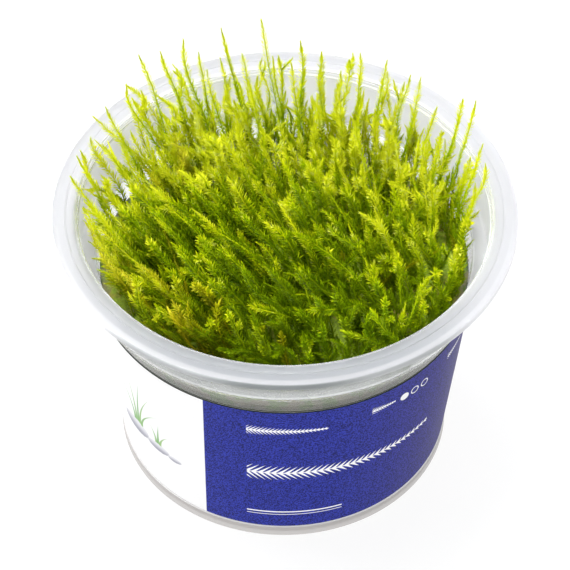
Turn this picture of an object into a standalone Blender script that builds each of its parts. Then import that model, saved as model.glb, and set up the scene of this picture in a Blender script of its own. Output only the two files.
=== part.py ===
"""A clear plastic cup of moss grown by tissue culture.

The cup is a turned shell with a wide rim, a collar and a tapered body. A printed label lies in a
shallow recess round the body. Inside are a bed of nutrient gel, the moss cushion that has grown on
it, and the leading shoots that stand out of the cushion. All lengths are in metres. The origin is
on the cup's axis, in the plane of its foot, and the front of the label faces -Y.
"""
import math
import random

import bmesh
import bpy
from mathutils import Vector

MODEL_NAME = "tissue_culture_moss_cup"

# The cup's turned outline
CUP_HEIGHT = 0.0655
RIM_RADIUS = 0.0500
RIM_THICKNESS = 0.0012
LIP_DEPTH = 0.0020
LIP_WIDTH = 0.0009
MOUTH_RADIUS = 0.0443
MOUTH_STEP = 0.00035
MOUTH_STEP_DEPTH = 0.0016
COLLAR_DEPTH = 0.0113
COLLAR_TOP_RADIUS = 0.0452
COLLAR_BOTTOM_RADIUS = 0.0447
BODY_TOP_RADIUS = 0.0419
BODY_TOP_DEPTH = 0.0123
BODY_TAPER = 0.1034
WALL = 0.0012
FOOT_RADIUS = 0.0369
FOOT_RING_WIDTH = 0.0030
FOOT_RECESS = 0.0008
FLOOR_THICKNESS = 0.0009
EDGE_ROUNDING = 0.0004
CUP_SIDES = 36

# The label
LABEL_TOP_DEPTH = 0.0189
LABEL_BOTTOM_DEPTH = 0.0622
LABEL_THICKNESS = 0.0003
LABEL_SEAM_GAP = 0.0012

# The clearance that touching pieces keep
TOUCH_GAP = 0.0003

# The gel
GEL_DEPTH = 0.0120
GEL_MENISCUS = 0.0006
GEL_SIDES = 24

# The moss
ROOT_PLANE = CUP_HEIGHT - 0.0120
ROOT_RADIUS = 0.0392
CELLS_ACROSS = 15
CELL_JITTER = 0.0004
SIDE_FAN = 8.5
BACK_FAN = 4.0
FRONT_FAN = 1.0
TIP_HEIGHT_AT_MIDDLE = 0.0042
TIP_HEIGHT_SLOPE = 0.03
TIP_HEIGHT_VARIATION = 0.0045
GAP_HEIGHT_AT_MIDDLE = -0.0064
GAP_HEIGHT_SLOPE = -0.12
GAP_HEIGHT_VARIATION = 0.0010
SLANT_LEFT_AT_BACK = 0.16
SLANT_LEFT_AT_FRONT = 0.78
SLANT_AWAY_AT_BACK = 0.08
SLANT_AWAY_AT_FRONT = 0.45
SLANT_BACK = 0.0200
SLANT_RANGE = 0.0340
SHOOT_RINGS = ((0.34, 0.60), (0.70, 0.34))
SHOOT_DRIFT = 0.0007
SOCKET_SHARE = 0.70
SOCKET_DEPTH = 0.0025
MOSS_SEED = 7

# Leading shoots: where each tip is, in millimetres right of the axis, behind it and above the rim
LEADING_TIPS = (
    (-7, 34, 25), (-15, 34, 20), (-22, 31, 20), (-27, 28, 19), (-31, 25, 20), (-36, 22, 15),
    (-38, 17, 14), (-39, 10, 9), (-44, 7, 9), (-47, 2, 8), (-43, -8, 10), (-19, 36, 12),
    (-17, 27, 15), (-10, 30, 17), (-4, 37, 11), (-8, 25, 14), (4, 35, 16), (1, 29, 15),
    (8, 36, 10), (15, 32, 16), (18, 24, 12), (23, 30, 16), (27, 27, 14), (31, 24, 17),
    (34, 12, 12), (36, 19, 15), (40, 15, 18), (42, 7, 13), (45, 3, 12), (40, -2, 10),
    (4, 4, 11), (-2, -6, 9), (-12, 8, 13), (14, 12, 12), (17, -8, 8), (-20, -8, 8),
)
SHOOT_SIDES = 4
SHOOT_FOOT_RADIUS = 0.0006
SHOOT_LEAF_RADIUS = 0.0011
SHOOT_STEM_SHARE = 0.62
SHOOT_WHORLS = 4
SHOOT_BEND = 0.0010

# Colours, roughness and transparency of the finishes
FINISHES = {
    "clear_cup": ((0.86, 0.87, 0.91, 0.45), 0.35),
    "label_film": ((0.030, 0.045, 0.280, 1.0), 0.30),
    "growing_gel": ((0.70, 0.62, 0.50, 1.0), 0.25),
    "old_moss": ((0.10, 0.19, 0.015, 1.0), 0.60),
    "new_moss": ((0.38, 0.52, 0.035, 1.0), 0.55),
}


def height_at(depth):
    """Height above the foot of a point this far below the rim's top."""
    return CUP_HEIGHT - depth


def body_radius(height):
    """Outer radius of the tapered body, and of the label that lies flush with it."""
    return BODY_TOP_RADIUS - BODY_TAPER * (height_at(BODY_TOP_DEPTH) - height)


def inner_radius(height):
    """Inner radius of the tapered body."""
    return body_radius(height) - WALL


FLOOR_HEIGHT = FOOT_RECESS + FLOOR_THICKNESS
GEL_TOP = FLOOR_HEIGHT + TOUCH_GAP + GEL_DEPTH


def cup_outline():
    """Half section of the cup: out along its floor, up the inside, over the rim and down the outside."""
    ledge = height_at(COLLAR_DEPTH)
    collar_inside = COLLAR_BOTTOM_RADIUS - 0.7 * WALL
    label_top = height_at(LABEL_TOP_DEPTH) + TOUCH_GAP
    label_bottom = height_at(LABEL_BOTTOM_DEPTH) - TOUCH_GAP
    recess = LABEL_THICKNESS + TOUCH_GAP
    edge = EDGE_ROUNDING
    fillet = 3 * edge
    lip = CUP_HEIGHT - LIP_DEPTH
    under_rim = CUP_HEIGHT - RIM_THICKNESS
    inside = [
        (0, FLOOR_HEIGHT),
        (inner_radius(FLOOR_HEIGHT) - fillet, FLOOR_HEIGHT),
        (inner_radius(FLOOR_HEIGHT + fillet), FLOOR_HEIGHT + fillet),
        (inner_radius(ledge - edge), ledge - edge),
        (inner_radius(ledge) + edge, ledge),
        (collar_inside - edge, ledge + edge),
        (collar_inside, ledge + 3 * edge),
        (MOUTH_RADIUS - MOUTH_STEP, height_at(MOUTH_STEP_DEPTH)),
        (MOUTH_RADIUS, height_at(MOUTH_STEP_DEPTH) + edge),
        (MOUTH_RADIUS, CUP_HEIGHT - edge),
        (MOUTH_RADIUS + edge, CUP_HEIGHT),
    ]
    rim = [
        (RIM_RADIUS - 2 * edge, CUP_HEIGHT),
        (RIM_RADIUS - 0.6 * edge, CUP_HEIGHT - 0.6 * edge),
        (RIM_RADIUS, CUP_HEIGHT - 2 * edge),
        (RIM_RADIUS, lip + edge),
        (RIM_RADIUS - edge, lip),
        (RIM_RADIUS - LIP_WIDTH, lip),
        (RIM_RADIUS - LIP_WIDTH - edge, under_rim),
        (COLLAR_TOP_RADIUS + edge, under_rim),
    ]
    outside = [
        (COLLAR_TOP_RADIUS, under_rim - edge),
        (COLLAR_BOTTOM_RADIUS, ledge + edge),
        (COLLAR_BOTTOM_RADIUS - edge, ledge - edge),
        (BODY_TOP_RADIUS + edge, height_at(BODY_TOP_DEPTH) + edge),
        (BODY_TOP_RADIUS, height_at(BODY_TOP_DEPTH)),
        (body_radius(label_top), label_top),
        (body_radius(label_top) - recess, label_top),
        (body_radius(label_bottom) - recess, label_bottom),
        (FOOT_RADIUS - edge, label_bottom),
        (FOOT_RADIUS, label_bottom - edge),
        (FOOT_RADIUS, edge),
        (FOOT_RADIUS - edge, 0),
        (FOOT_RADIUS - FOOT_RING_WIDTH, 0),
        (FOOT_RADIUS - FOOT_RING_WIDTH - edge, FOOT_RECESS),
        (0, FOOT_RECESS),
    ]
    return inside + rim + outside


def gel_outline():
    """Half section of the gel: out along its slightly hollow top, then down its side to the floor."""
    bottom = FLOOR_HEIGHT + TOUCH_GAP
    chamfer = 4 * EDGE_ROUNDING
    top_radius = inner_radius(GEL_TOP) - TOUCH_GAP - MOUTH_STEP
    low_radius = inner_radius(bottom + chamfer) - TOUCH_GAP - MOUTH_STEP
    return [
        (0, GEL_TOP - GEL_MENISCUS),
        (0.9 * top_radius, GEL_TOP - GEL_MENISCUS),
        (top_radius, GEL_TOP),
        (low_radius, bottom + chamfer),
        (low_radius - chamfer, bottom),
        (0, bottom),
    ]


def finish_material(name):
    """A Principled material of one of the finishes."""
    colour, roughness = FINISHES[name]
    material = bpy.data.materials.get(name)
    if material is None:
        material = bpy.data.materials.new(name)
        material.use_nodes = True
        shader = material.node_tree.nodes["Principled BSDF"]
        shader.inputs["Base Color"].default_value = colour
        shader.inputs["Roughness"].default_value = roughness
        shader.inputs["Metallic"].default_value = 0.0
        shader.inputs["Alpha"].default_value = colour[3]
        material.diffuse_color = colour
    return material


def add_part(name, mesh, finish, collection):
    """One sub-part of the model, as its own object."""
    part = bpy.data.objects.new(name, mesh)
    mesh.materials.append(finish_material(finish))
    collection.objects.link(part)
    return part


def outline_mesh(name, outline):
    """A mesh that is only the line through the outline's points, in the XZ plane."""
    mesh = bpy.data.meshes.new(name)
    points = [(radius, 0, height) for radius, height in outline]
    mesh.from_pydata(points, [(i, i + 1) for i in range(len(points) - 1)], [])
    return mesh


def turned_part(name, outline, finish, collection, sides=CUP_SIDES, angle=math.tau):
    """A sub-part turned round the Z axis from its half section."""
    part = add_part(name, outline_mesh(name, outline), finish, collection)
    screw = part.modifiers.new("turn", "SCREW")
    screw.axis = "Z"
    screw.angle = angle
    screw.steps = sides
    screw.render_steps = sides
    screw.use_smooth_shade = True
    screw.use_merge_vertices = True
    screw.merge_threshold = 0.00001
    return part


def add_label(collection):
    """The label: a tapered strip round the body, open by a narrow seam at the back."""
    top = height_at(LABEL_TOP_DEPTH)
    bottom = height_at(LABEL_BOTTOM_DEPTH)
    seam_angle = LABEL_SEAM_GAP / body_radius(top)
    outline = [(body_radius(top), top), (body_radius(bottom), bottom)]
    label = turned_part("label", outline, "label_film", collection, angle=math.tau - seam_angle)
    label.rotation_euler.z = math.pi / 2 + seam_angle / 2
    film = label.modifiers.new("film", "SOLIDIFY")
    film.thickness = LABEL_THICKNESS
    film.offset = -1
    film.use_even_offset = True
    return label


def stand(root, height):
    """Where a shoot that is rooted at this point of the root plane has come to at a height.

    All the shoots fan outwards together, most to the sides and least at the front, so none of them
    crosses its neighbours.
    """
    rise = height - ROOT_PLANE
    forward_fan = BACK_FAN if root.y > 0 else FRONT_FAN
    return Vector((root.x * (1 + SIDE_FAN * rise), root.y * (1 + forward_fan * rise), height))


def square_to_disc(x, y):
    """Maps a square from -1 to 1 onto a disc of radius 1, keeping the cells' areas alike."""
    if x == 0 and y == 0:
        return Vector((0, 0, 0))
    if abs(x) > abs(y):
        radius = x
        bearing = math.pi / 4 * y / x
    else:
        radius = y
        bearing = math.pi / 2 - math.pi / 4 * x / y
    return Vector((radius * math.cos(bearing), radius * math.sin(bearing), 0))


def tip_height(root, chance):
    """Height of a common shoot's tip: near the rim at the front and well above it at the back."""
    above_rim = TIP_HEIGHT_AT_MIDDLE + TIP_HEIGHT_SLOPE * root.y
    return CUP_HEIGHT + above_rim + chance.uniform(-1, 1) * TIP_HEIGHT_VARIATION


def gap_height(root):
    """Mean height of the dense moss between the shoots."""
    return CUP_HEIGHT + GAP_HEIGHT_AT_MIDDLE + GAP_HEIGHT_SLOPE * root.y


def slant(root):
    """How far a common shoot leans to the left and away for each metre that it rises.

    The shoots in the middle and at the front lie over furthest, and those at the wall stand up with it.
    """
    forward = min(1, max(0, (SLANT_BACK - root.y) / SLANT_RANGE))
    inward = 1 - (root.length / ROOT_RADIUS) ** 4
    left = SLANT_LEFT_AT_BACK + forward * (SLANT_LEFT_AT_FRONT - SLANT_LEFT_AT_BACK)
    away = SLANT_AWAY_AT_BACK + forward * (SLANT_AWAY_AT_FRONT - SLANT_AWAY_AT_BACK)
    return inward * Vector((-left, away, 0))


def leaning(root, level, height):
    """Where a shoot that leans once it has left the dense moss at a level has come to at a height."""
    return stand(root, height) + max(0, height - level) * slant(root)


def extrude_to(form, face, centre, share, height, drift, roots):
    """Extrudes a cell's face up or down to a ring that is a share of the cell's own width."""
    top = bmesh.ops.extrude_discrete_faces(form, faces=[face])["faces"][0]
    for vert in top.verts:
        corner = vert[roots]
        vert.co = stand(centre + share * (corner - centre) + drift, height)
    return top


def moss_bed(chance):
    """The dense top of the moss as a sheet of cells over the disc of the root plane."""
    form = bmesh.new()
    roots = form.verts.layers.float_vector.new("root")
    bmesh.ops.create_grid(form, x_segments=CELLS_ACROSS, y_segments=CELLS_ACROSS, size=1)
    for vert in form.verts:
        root = ROOT_RADIUS * square_to_disc(vert.co.x, vert.co.y)
        if not vert.is_boundary:
            root += Vector((chance.uniform(-1, 1), chance.uniform(-1, 1), 0)) * CELL_JITTER
        vert[roots] = root
        vert.co = stand(root, gap_height(root) + chance.uniform(-1, 1) * GAP_HEIGHT_VARIATION)
    return form, roots


def cell_centre(face, roots):
    """Middle of a cell in the root plane."""
    return sum((vert[roots] for vert in face.verts), Vector()) / len(face.verts)


def grow_common_shoot(form, face, roots, chance):
    """Draws a cell up to a short shoot that is fused to the dense moss round it."""
    centre = cell_centre(face, roots)
    foot = sum((vert.co.z for vert in face.verts)) / len(face.verts)
    tip = tip_height(centre, chance)
    drift = Vector((chance.uniform(-1, 1), chance.uniform(-1, 1), 0)) * SHOOT_DRIFT
    drift += (tip - foot) * slant(centre)
    for rise, share in SHOOT_RINGS:
        height = foot + rise * (tip - foot)
        face = extrude_to(form, face, centre, share, height, rise * drift, roots)
    point = bmesh.ops.poke(form, faces=[face])["verts"][0]
    point.co = stand(centre + drift, tip)


def sink_socket(form, face, roots):
    """Sinks a narrow socket in a cell for the foot of a leading shoot, and gives its floor's place."""
    centre = cell_centre(face, roots)
    top = sum((vert.co.z for vert in face.verts)) / len(face.verts)
    bottom = top - SOCKET_DEPTH
    face = extrude_to(form, face, centre, SOCKET_SHARE, top, Vector(), roots)
    extrude_to(form, face, centre, SOCKET_SHARE, bottom, Vector(), roots)
    return centre, bottom


def close_moss(form):
    """Draws the rim of the moss bed down the inside of the cup to the gel and closes it below."""
    clearance = TOUCH_GAP + MOUTH_STEP
    shoulder = height_at(COLLAR_DEPTH) - 0.0030
    bottom = GEL_TOP + TOUCH_GAP
    edges = [edge for edge in form.edges if edge.is_boundary]
    for height in (shoulder, bottom):
        drawn = bmesh.ops.extrude_edge_only(form, edges=edges)["geom"]
        edges = [item for item in drawn if isinstance(item, bmesh.types.BMEdge)]
        radius = inner_radius(height) - clearance
        for vert in {vert for edge in edges for vert in edge.verts}:
            bearing = math.atan2(vert.co.y, vert.co.x)
            vert.co = Vector((radius * math.cos(bearing), radius * math.sin(bearing), height))
    bmesh.ops.contextual_create(form, geom=edges)


def choose_cells(cells, tips):
    """The free cell under each leading tip: the one whose shoot would pass nearest to it."""
    chosen = []
    free = dict(cells)
    for tip in tips:
        face = min(free, key=lambda cell: (leaning(free[cell], gap_height(free[cell]), tip.z) - tip).length)
        chosen.append((face, tip))
        del free[face]
    return chosen


def stem_middle(root, foot_height, tip, share):
    """Middle of a leading shoot's stem at this share of its height, bending over to its tip."""
    height = foot_height + share * (tip.z - foot_height)
    level = foot_height + SOCKET_DEPTH
    bend = tip - leaning(root, level, tip.z)
    if bend.length > SHOOT_BEND:
        bend *= SHOOT_BEND / bend.length
    return leaning(root, level, height) + bend * share ** 2


def leading_shoot_mesh(name, root, foot_height, tip):
    """A slim stem with whorls of leaves, from its socket up to its tip, four-sided and tapering."""
    form = bmesh.new()
    steps = 2 * SHOOT_WHORLS
    middles = [stem_middle(root, foot_height, tip, step / steps) for step in range(steps)]
    radii = [SHOOT_LEAF_RADIUS * (1 - step / steps) ** 0.5 for step in range(steps)]
    radii[0] = SHOOT_FOOT_RADIUS
    radii[2::2] = [SHOOT_STEM_SHARE * radius for radius in radii[2::2]]
    bmesh.ops.create_cone(form, cap_ends=True, segments=SHOOT_SIDES, radius1=radii[0],
                          radius2=radii[1], depth=middles[1].z - middles[0].z)
    faces = sorted(form.faces, key=lambda face: face.calc_center_median().z)
    for face, middle in ((faces[0], middles[0]), (faces[-1], middles[1])):
        bmesh.ops.translate(form, verts=face.verts, vec=middle - face.calc_center_median())
    face = faces[-1]
    for step in range(2, steps):
        face = bmesh.ops.extrude_discrete_faces(form, faces=[face])["faces"][0]
        for vert in face.verts:
            outward = (vert.co - middles[step - 1]).normalized()
            vert.co = middles[step] + radii[step] * outward
    point = bmesh.ops.poke(form, faces=[face])["verts"][0]
    point.co = stem_middle(root, foot_height, tip, 1)
    mesh = bpy.data.meshes.new(name)
    form.to_mesh(mesh)
    form.free()
    return mesh


def add_moss(collection):
    """The moss cushion with its common shoots, and the leading shoots as parts of their own."""
    chance = random.Random(MOSS_SEED)
    form, roots = moss_bed(chance)
    cells = {face: cell_centre(face, roots) for face in form.faces}
    tips = [Vector((x, y, z)) * 0.001 + Vector((0, 0, CUP_HEIGHT)) for x, y, z in LEADING_TIPS]
    chosen = choose_cells(cells, tips)
    close_moss(form)
    led = {face for face, tip in chosen}
    for face in cells:
        if face not in led:
            grow_common_shoot(form, face, roots, chance)
    for number, (face, tip) in enumerate(chosen, 1):
        root, floor = sink_socket(form, face, roots)
        name = f"leading_shoot_{number:02d}"
        mesh = leading_shoot_mesh(name, root, floor + TOUCH_GAP, tip)
        add_part(name, mesh, "new_moss", collection)
    bmesh.ops.recalc_face_normals(form, faces=form.faces)
    mesh = bpy.data.meshes.new("moss_cushion")
    form.to_mesh(mesh)
    form.free()
    add_part("moss_cushion", mesh, "old_moss", collection)


def main():
    for item in list(bpy.data.objects):
        bpy.data.objects.remove(item, do_unlink=True)
    collection = bpy.data.collections.new(MODEL_NAME)
    bpy.context.scene.collection.children.link(collection)
    turned_part("cup", cup_outline(), "clear_cup", collection)
    add_label(collection)
    turned_part("nutrient_gel", gel_outline(), "growing_gel", collection, sides=GEL_SIDES)
    add_moss(collection)


main()
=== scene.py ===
"""A clear plastic cup of moss grown by tissue culture, on a pale studio floor.

Lengths are in metres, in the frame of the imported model: the origin is on the cup's axis, in the plane
of its foot, and the front of the label faces -Y.
"""
import math

import bmesh
import bpy
import numpy as np
from mathutils import Matrix, Vector, noise


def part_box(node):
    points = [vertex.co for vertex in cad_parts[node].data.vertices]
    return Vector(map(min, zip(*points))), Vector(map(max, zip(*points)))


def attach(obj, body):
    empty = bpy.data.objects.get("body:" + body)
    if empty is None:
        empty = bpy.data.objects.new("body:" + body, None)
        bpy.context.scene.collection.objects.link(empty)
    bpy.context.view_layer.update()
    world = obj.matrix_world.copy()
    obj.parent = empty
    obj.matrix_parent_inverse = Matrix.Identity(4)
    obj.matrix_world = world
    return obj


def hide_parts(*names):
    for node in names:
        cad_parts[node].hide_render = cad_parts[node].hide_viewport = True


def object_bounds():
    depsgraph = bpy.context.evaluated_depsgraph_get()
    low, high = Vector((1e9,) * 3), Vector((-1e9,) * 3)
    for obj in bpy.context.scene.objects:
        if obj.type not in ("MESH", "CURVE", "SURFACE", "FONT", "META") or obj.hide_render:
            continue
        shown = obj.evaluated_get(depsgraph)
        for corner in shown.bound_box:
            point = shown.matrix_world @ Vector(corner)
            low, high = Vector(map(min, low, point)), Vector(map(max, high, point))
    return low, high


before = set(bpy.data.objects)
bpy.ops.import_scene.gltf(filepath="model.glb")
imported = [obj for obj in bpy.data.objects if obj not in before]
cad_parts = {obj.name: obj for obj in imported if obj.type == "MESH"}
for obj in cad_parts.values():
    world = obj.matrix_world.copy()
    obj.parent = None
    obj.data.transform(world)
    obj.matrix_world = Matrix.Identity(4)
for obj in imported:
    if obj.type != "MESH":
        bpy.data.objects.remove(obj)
cad_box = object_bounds()
scene = bpy.context.scene

# The studio: a wide pale floor, even white light from all round, a large soft lamp above and behind to
# the left, and two weak ones, in front and behind. The camera looks down into the cup from the front,
# through a long lens.
RIM_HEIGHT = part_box("cup")[1].z
CAMERA_PLACE = Vector((0, -0.44941, RIM_HEIGHT + 0.4577))
CAMERA_PITCH = math.radians(46.97)
CAMERA_ROLL = math.radians(0.385)
CAMERA_LENS = 189.5
CAMERA_SHIFT = 0.0013
CAMERA_NEAR_LIMIT = 0.01
# Name, place, width and power of each lamp
LAMPS = (
    ("soft_lamp", Vector((-0.28, 0.20, 0.92)), 0.7, 19.0),
    ("front_lamp", Vector((-0.22, -0.75, 0.16)), 0.5, 1.9),
    ("back_lamp", Vector((0.12, 0.75, 0.28)), 0.5, 3.2),
)
ROOM_LIGHT = {"Color": (1, 1, 1, 1), "Strength": 0.54}
FLOOR_SIZE = 4.0
FLOOR_PAINT = {"Base Color": (0.12, 0.12, 0.12, 1), "Roughness": 0.9, "Specular IOR Level": 0.0,
               "Emission Color": (1, 1, 1, 1), "Emission Strength": 0.90}


def set_sockets(node, values):
    """Sets the sockets of a node to these values."""
    for socket, value in values.items():
        node.inputs[socket].default_value = value


def new_material(name):
    """A new material and its Principled shader."""
    material = bpy.data.materials.new(name)
    material.use_nodes = True
    return material, material.node_tree.nodes["Principled BSDF"]


camera = bpy.data.objects.new("camera", bpy.data.cameras.new("camera"))
camera.data.lens = CAMERA_LENS
camera.data.shift_x = CAMERA_SHIFT
camera.data.clip_start = CAMERA_NEAR_LIMIT
camera.matrix_world = (Matrix.Translation(CAMERA_PLACE)
                       @ Matrix.Rotation(math.pi / 2 - CAMERA_PITCH, 4, "X")
                       @ Matrix.Rotation(CAMERA_ROLL, 4, "Z"))
scene.collection.objects.link(camera)
scene.camera = camera
scene.view_settings.view_transform = "Standard"

for name, place, size, power in LAMPS:
    lamp = bpy.data.objects.new(name, bpy.data.lights.new(name, "AREA"))
    lamp.data.shape = "SQUARE"
    lamp.data.size = size
    lamp.data.energy = power
    lamp.matrix_world = (Matrix.Translation(place)
                         @ (-place).to_track_quat("-Z", "Y").to_matrix().to_4x4())
    scene.collection.objects.link(lamp)

scene.world = bpy.data.worlds.new("room")
scene.world.use_nodes = True
set_sockets(scene.world.node_tree.nodes["Background"], ROOM_LIGHT)

floor_form = bmesh.new()
bmesh.ops.create_grid(floor_form, x_segments=1, y_segments=1, size=FLOOR_SIZE / 2)
floor_mesh = bpy.data.meshes.new("floor")
floor_form.to_mesh(floor_mesh)
floor_form.free()
floor = bpy.data.objects.new("floor", floor_mesh)
scene.collection.objects.link(floor)
floor_paint, floor_shader = new_material("floor_paint")
set_sockets(floor_shader, FLOOR_PAINT)
floor.data.materials.append(floor_paint)

# The cup: one shell of natural polypropylene, injection moulded about 1.2 mm thick. It has a wide flat
# rim with a turned-down lip, a straight collar, a ledge, and a tapered body with a shallow recess for
# the label. Moisture from the moss has settled in fine drops on the inside of the collar.
MM = 0.001
CUP_TURNS = 144
EDGE_STEPS = 3
SAME_PLACE = 0.001 * MM
SHARP_EDGE = math.radians(40)
TURNING_PITCH = 0.12
DROP_SIZE = 0.42 * MM
# Distance from the axis, depth below the rim's top, and rounding of each corner, in millimetres
CUP_INSIDE = (
    (0.0, 63.8, 0.0), (35.5, 63.8, 1.2), (39.2, 25.0, 0.0), (40.77, 11.3, 0.45), (43.86, 11.3, 0.8),
    (43.93, 1.6, 0.15), (44.3, 1.6, 0.15), (44.3, 0.0, 0.35),
)
CUP_RIM = (
    (46.7, 0.0, 0.08), (46.8, 0.12, 0.06), (47.0, 0.12, 0.06), (47.1, 0.0, 0.08),
    (50.0, 0.0, 0.6), (50.0, 1.7, 0.3), (49.1, 1.7, 0.3), (48.9, 1.2, 0.2), (45.2, 1.2, 0.3),
)
CUP_OUTSIDE = (
    (44.7, 11.4, 0.5), (42.0, 12.3, 0.4), (41.25, 18.6, 0.1), (40.65, 18.6, 0.1),
    (36.18, 62.5, 0.1), (36.9, 62.5, 0.2), (36.9, 65.5, 0.4), (33.9, 65.5, 0.3), (33.6, 64.7, 0.3),
    (0.0, 64.7, 0.0),
)


def turned_form(outline, turns):
    """A body turned round the axis from its half section, with each corner of it rounded."""
    form = bmesh.new()
    corners = [form.verts.new((radius * MM, 0, RIM_HEIGHT - depth * MM)) for radius, depth, _ in outline]
    for first, second in zip(corners, corners[1:]):
        form.edges.new((first, second))
    for corner, (_, _, rounding) in zip(corners, outline):
        if rounding:
            bmesh.ops.bevel(form, geom=[corner], offset=rounding * MM, affect="VERTICES",
                            segments=EDGE_STEPS, profile=0.5, material=-1)
    bmesh.ops.spin(form, geom=form.verts[:] + form.edges[:], cent=(0, 0, 0), axis=(0, 0, 1),
                   angle=math.tau, steps=turns, use_merge=True)
    bmesh.ops.remove_doubles(form, verts=form.verts, dist=SAME_PLACE)
    bmesh.ops.recalc_face_normals(form, faces=form.faces)
    return form


def placed_piece(name, mesh, material, nodes):
    """A visible piece of the object that stands for these CAD nodes."""
    mesh.materials.append(material)
    piece = bpy.data.objects.new(name, mesh)
    scene.collection.objects.link(piece)
    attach(piece, "root")
    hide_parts(*nodes)


def turned_piece(name, form, material, node):
    """A turned piece of the object, smooth apart from its sharp edges."""
    for face in form.faces:
        face.smooth = True
    for edge in form.edges:
        edge.smooth = edge.calc_face_angle(0) < SHARP_EDGE
    mesh = bpy.data.meshes.new(name)
    form.to_mesh(mesh)
    form.free()
    placed_piece(name, mesh, material, [node])


class Value:
    """One output of a material's nodes. Sums and products of it add Math nodes."""

    def __init__(self, socket):
        self.socket = socket

    def node(self, kind, settings=None, inputs=None, output=0):
        """Adds a node of any kind beside this one, with its settings and what its sockets hold."""
        tree = self.socket.id_data
        made = tree.nodes.new("ShaderNode" + kind)
        for setting, choice in (settings or {}).items():
            if setting == "stops":
                set_stops(made.color_ramp, choice)
            else:
                setattr(made, setting, choice)
        for socket, value in (inputs or {}).items():
            if isinstance(value, Value):
                tree.links.new(value.socket, made.inputs[socket])
            else:
                made.inputs[socket].default_value = value
        return Value(made.outputs[output])

    def math(self, operation, *others):
        """A Math node on this value and, where it takes them, on others."""
        return self.node("Math", {"operation": operation}, dict(enumerate((self, *others))))

    def __add__(self, other):
        return self.math("ADD", other)

    def __sub__(self, other):
        return self.math("SUBTRACT", other)

    def __rsub__(self, other):
        return self.node("Math", {"operation": "SUBTRACT"}, {0: other, 1: self})

    def __mul__(self, other):
        return self.math("MULTIPLY", other)

    def __truediv__(self, other):
        return self.math("DIVIDE", other)

    __radd__ = __add__
    __rmul__ = __mul__


def set_stops(ramp, stops):
    """Gives a colour ramp its stops: places and colours."""
    while len(ramp.elements) < len(stops):
        ramp.elements.new(1.0)
    for element, (place, colour) in zip(ramp.elements, stops):
        element.position = place
        element.color = (*colour, 1)


def step_up(value, low, high):
    """0 below low, 1 above high, and a smooth rise between."""
    return value.node("MapRange", {"interpolation_type": "SMOOTHSTEP"}, {0: value, 1: low, 2: high})


def step_down(value, low, high):
    """1 below low, 0 above high, and a smooth fall between."""
    return 1 - step_up(value, low, high)


def band(value, low, high, edge):
    """1 between two limits and 0 outside them, with soft edges."""
    return step_up(value, low - edge, low + edge) * step_down(value, high - edge, high + edge)


def mixed(share, first, second):
    """A colour between two others."""
    return share.node("Mix", {"data_type": "RGBA"}, {0: share, 6: first, 7: second}, output=2)


def bumped(height, strength, depth):
    """A surface's normal, made uneven by a height. Depth is in metres."""
    return height.node("Bump", None, {"Height": height, "Strength": strength, "Distance": depth})


def cloud(place, size, detail=2.0):
    """Soft noise from 0 to 1 with lumps of this size."""
    return place.node("TexNoise", None, {"Vector": place, "Scale": 1 / size, "Detail": detail})


def cells(place, size):
    """The distance from the middle of the nearest of many cells of this size."""
    return place.node("TexVoronoi", {"feature": "F1"}, {"Vector": place, "Scale": 1 / size})


def started_material(name):
    """A new material, its Principled shader, and the place on the object in the object's own axes."""
    material, shader = new_material(name)
    place = Value(material.node_tree.nodes.new("ShaderNodeTexCoord").outputs["Object"])
    return material, shader, place


def feed(shader, **values):
    """Links values to a shader's sockets, or sets them there. An underscore stands for a space."""
    for name, value in values.items():
        socket = shader.inputs[name.replace("_", " ")]
        if isinstance(value, Value):
            shader.id_data.links.new(value.socket, socket)
        else:
            socket.default_value = value


def shader_mix(material, share, shader, other):
    """Gives a material its surface: its own shader, with a share of another one in it."""
    both = other.node("MixShader", None, {0: share, 1: Value(shader.outputs["BSDF"]), 2: other})
    surface = material.node_tree.nodes["Material Output"].inputs["Surface"]
    material.node_tree.links.new(both.socket, surface)


def axes_of(place):
    """The place across, away from the camera, below the rim's top, and out from the axis, in
    millimetres."""
    x, y, z = (place.node("SeparateXYZ", None, {0: place}, output=axis) / MM for axis in range(3))
    return x, y, RIM_HEIGHT / MM - z, (x * x + y * y).math("SQRT")


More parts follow.
